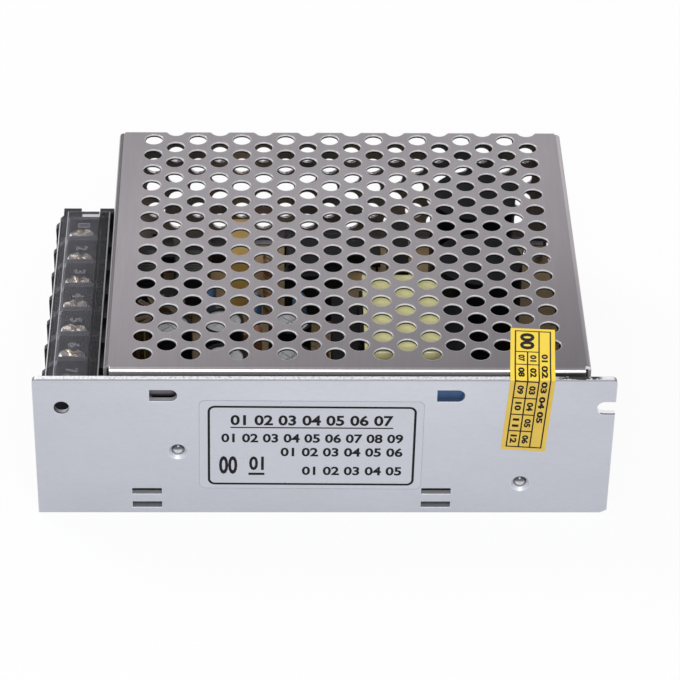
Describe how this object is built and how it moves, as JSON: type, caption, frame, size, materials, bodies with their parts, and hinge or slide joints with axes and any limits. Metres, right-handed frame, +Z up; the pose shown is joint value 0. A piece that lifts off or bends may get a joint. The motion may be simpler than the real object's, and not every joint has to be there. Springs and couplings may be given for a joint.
{
  "type": "led power supply",
  "caption": "Enclosed LED power supply: folded aluminium chassis, perforated steel cover, barrier terminal block under a hinged clear lid.",
  "frame": {"origin": "centre of the floor's underside, in the middle of the four threaded mounting holes", "axes": "+X along the front wall away from the terminals, +Y from the front wall to the rear flap, +Z up"},
  "size_m": [0.129, 0.0999, 0.0396],
  "materials": {
    "chassis_aluminium": "satin",
    "cover_steel": "satin",
    "screw_steel": "glossy",
    "black_film": "matte",
    "board_laminate": "satin",
    "block_plastic": "satin",
    "contact_brass": "satin",
    "lid_clear": "glossy",
    "blue_plastic": "glossy",
    "white_plastic": "satin",
    "lamp_lens": "glossy",
    "fuse_glass": "glossy",
    "ferrite": "matte",
    "enamelled_wire": "glossy",
    "yellow_box": "glossy",
    "blue_resin": "glossy",
    "black_resin": "satin",
    "can_aluminium": "glossy",
    "black_sleeve": "glossy",
    "yellow_tape": "glossy",
    "ring_core": "matte",
    "clamp_steel": "satin",
    "grey_pad": "matte",
    "blue_pad": "matte",
    "resistor_paint": "satin",
    "green_resin": "glossy",
    "brown_resin": "glossy",
    "washer_steel": "satin",
    "terminal_steel": "glossy"
  },
  "bodies": {
    "root": {"chassis": "chassis_aluminium", "cover": "cover_steel", "cover_screws": "screw_steel", "insulating_film": "black_film", "circuit_board": "board_laminate", "board_standoffs": "screw_steel", "board_screws": "screw_steel", "clamp_screws": "screw_steel", "terminal_block": "block_plastic", "terminal_contacts": "contact_brass", "trimmer_body": "blue_plastic", "indicator_lamp": "lamp_lens", "fuse": "fuse_glass", "fuse_clips": "screw_steel", "line_choke_core": "ferrite", "line_choke_windings": "black_sleeve", "line_filter_capacitor": "yellow_box", "safety_capacitors": "blue_resin", "bridge_rectifier": "black_resin", "bulk_capacitor_1": "can_aluminium", "bulk_capacitor_2": "can_aluminium", "bulk_sleeve_1": "black_sleeve", "bulk_sleeve_2": "black_sleeve", "output_capacitors": "can_aluminium", "output_sleeves": "black_sleeve", "transformer_core": "ferrite", "transformer_bobbin": "black_resin", "transformer_winding": "enamelled_wire", "transformer_tape": "yellow_tape", "inductor_core": "ring_core", "inductor_winding": "enamelled_wire", "rectifier_diodes": "black_resin", "rectifier_clamp": "clamp_steel", "rectifier_pad": "grey_pad", "switch_transistors": "black_resin", "transistor_clamp": "clamp_steel", "transistor_pad": "blue_pad", "control_chip": "black_resin", "driver_transformer": "black_sleeve", "resistors": "resistor_paint", "green_capacitor": "green_resin", "brown_capacitor": "brown_resin"},
    "terminal_lid": {"terminal_lid": "lid_clear"},
    "trimmer_rotor": {"trimmer_rotor": "white_plastic"},
    "clamp_washer_1": {"clamp_washer_1": "washer_steel"},
    "terminal_screw_1": {"terminal_screw_1": "terminal_steel"},
    "clamp_washer_2": {"clamp_washer_2": "washer_steel"},
    "terminal_screw_2": {"terminal_screw_2": "terminal_steel"},
    "clamp_washer_3": {"clamp_washer_3": "washer_steel"},
    "terminal_screw_3": {"terminal_screw_3": "terminal_steel"},
    "clamp_washer_4": {"clamp_washer_4": "washer_steel"},
    "terminal_screw_4": {"terminal_screw_4": "terminal_steel"},
    "clamp_washer_5": {"clamp_washer_5": "washer_steel"},
    "terminal_screw_5": {"terminal_screw_5": "terminal_steel"},
    "clamp_washer_6": {"clamp_washer_6": "washer_steel"},
    "terminal_screw_6": {"terminal_screw_6": "terminal_steel"},
    "clamp_washer_7": {"clamp_washer_7": "washer_steel"},
    "terminal_screw_7": {"terminal_screw_7": "terminal_steel"}
  },
  "joints": [
    {"name": "terminal_lid_hinge", "type": "hinge", "parent": "root", "child": "terminal_lid", "pos_m": [-0.0519, -0.0035, 0.0271], "axis": [0, 1, 0], "range_deg": [0, 90]},
    {"name": "trimmer_turn", "type": "hinge", "parent": "root", "child": "trimmer_rotor", "pos_m": [-0.0585, -0.04315, 0.0125], "axis": [0, 0, 1], "range_deg": [-130, 130]},
    {"name": "clamp_1_lift", "type": "slide", "parent": "root", "child": "clamp_washer_1", "axis": [0, 0, 1], "range_m": [0, 0.00245]},
    {"name": "screw_1_turn", "type": "hinge", "parent": "clamp_washer_1", "child": "terminal_screw_1", "pos_m": [-0.0575, 0.025, 0.024], "axis": [0, 0, 1], "range_deg": [0, 1260]},
    {"name": "clamp_2_lift", "type": "slide", "parent": "root", "child": "clamp_washer_2", "axis": [0, 0, 1], "range_m": [0, 0.00245]},
    {"name": "screw_2_turn", "type": "hinge", "parent": "clamp_washer_2", "child": "terminal_screw_2", "pos_m": [-0.0575, 0.0155, 0.024], "axis": [0, 0, 1], "range_deg": [0, 1260]},
    {"name": "clamp_3_lift", "type": "slide", "parent": "root", "child": "clamp_washer_3", "axis": [0, 0, 1], "range_m": [0, 0.00245]},
    {"name": "screw_3_turn", "type": "hinge", "parent": "clamp_washer_3", "child": "terminal_screw_3", "pos_m": [-0.0575, 0.006, 0.024], "axis": [0, 0, 1], "range_deg": [0, 1260]},
    {"name": "clamp_4_lift", "type": "slide", "parent": "root", "child": "clamp_washer_4", "axis": [0, 0, 1], "range_m": [0, 0.00245]},
    {"name": "screw_4_turn", "type": "hinge", "parent": "clamp_washer_4", "child": "terminal_screw_4", "pos_m": [-0.0575, -0.0035, 0.024], "axis": [0, 0, 1], "range_deg": [0, 1260]},
    {"name": "clamp_5_lift", "type": "slide", "parent": "root", "child": "clamp_washer_5", "axis": [0, 0, 1], "range_m": [0, 0.00245]},
    {"name": "screw_5_turn", "type": "hinge", "parent": "clamp_washer_5", "child": "terminal_screw_5", "pos_m": [-0.0575, -0.013, 0.024], "axis": [0, 0, 1], "range_deg": [0, 1260]},
    {"name": "clamp_6_lift", "type": "slide", "parent": "root", "child": "clamp_washer_6", "axis": [0, 0, 1], "range_m": [0, 0.00245]},
    {"name": "screw_6_turn", "type": "hinge", "parent": "clamp_washer_6", "child": "terminal_screw_6", "pos_m": [-0.0575, -0.0225, 0.024], "axis": [0, 0, 1], "range_deg": [0, 1260]},
    {"name": "clamp_7_lift", "type": "slide", "parent": "root", "child": "clamp_washer_7", "axis": [0, 0, 1], "range_m": [0, 0.00245]},
    {"name": "screw_7_turn", "type": "hinge", "parent": "clamp_washer_7", "child": "terminal_screw_7", "pos_m": [-0.0575, -0.032, 0.024], "axis": [0, 0, 1], "range_deg": [0, 1260]}
  ],
  "couplings": [
    {"joint": "screw_1_turn", "follows": "clamp_1_lift", "rad_per_m": 8975},
    {"joint": "screw_2_turn", "follows": "clamp_2_lift", "rad_per_m": 8975},
    {"joint": "screw_3_turn", "follows": "clamp_3_lift", "rad_per_m": 8975},
    {"joint": "screw_4_turn", "follows": "clamp_4_lift", "rad_per_m": 8975},
    {"joint": "screw_5_turn", "follows": "clamp_5_lift", "rad_per_m": 8975},
    {"joint": "screw_6_turn", "follows": "clamp_6_lift", "rad_per_m": 8975},
    {"joint": "screw_7_turn", "follows": "clamp_7_lift", "rad_per_m": 8975}
  ]
}
